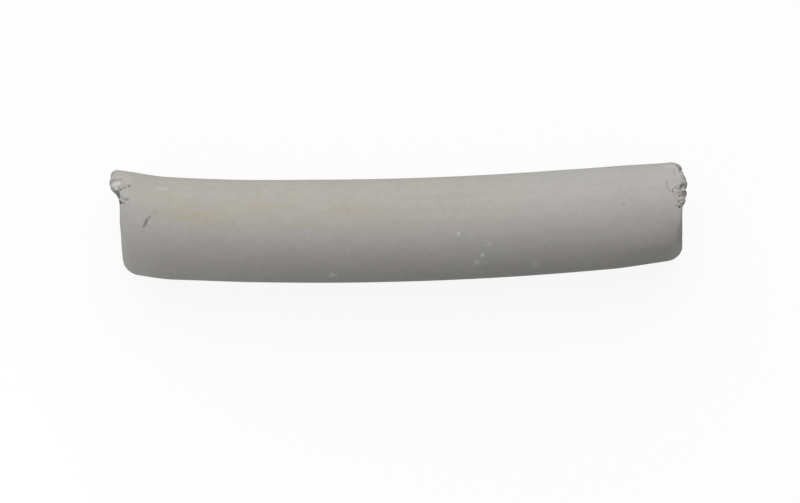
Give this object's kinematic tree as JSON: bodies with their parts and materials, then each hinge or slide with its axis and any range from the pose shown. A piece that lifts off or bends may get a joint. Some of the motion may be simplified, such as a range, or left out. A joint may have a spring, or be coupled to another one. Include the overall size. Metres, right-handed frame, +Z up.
{
  "type": "underglaze crayon",
  "caption": "Short round stick of dry underglaze clay, slightly bowed, with wire-cut ends and a torn lip on each, for drawing on unfired pottery.",
  "frame": {"origin": "on the flat underside that the stick rests on, below the middle of its length", "axes": "+X along the stick, +Y towards the hollow side of the bow, which both torn lips are on, +Z up"},
  "size_m": [0.071, 0.0148, 0.0125],
  "materials": {
    "clay": "unfired and matt, with fine pits and faint streaks from the die"
  },
  "bodies": {
    "root": {"crayon": "clay"}
  },
  "joints": []
}
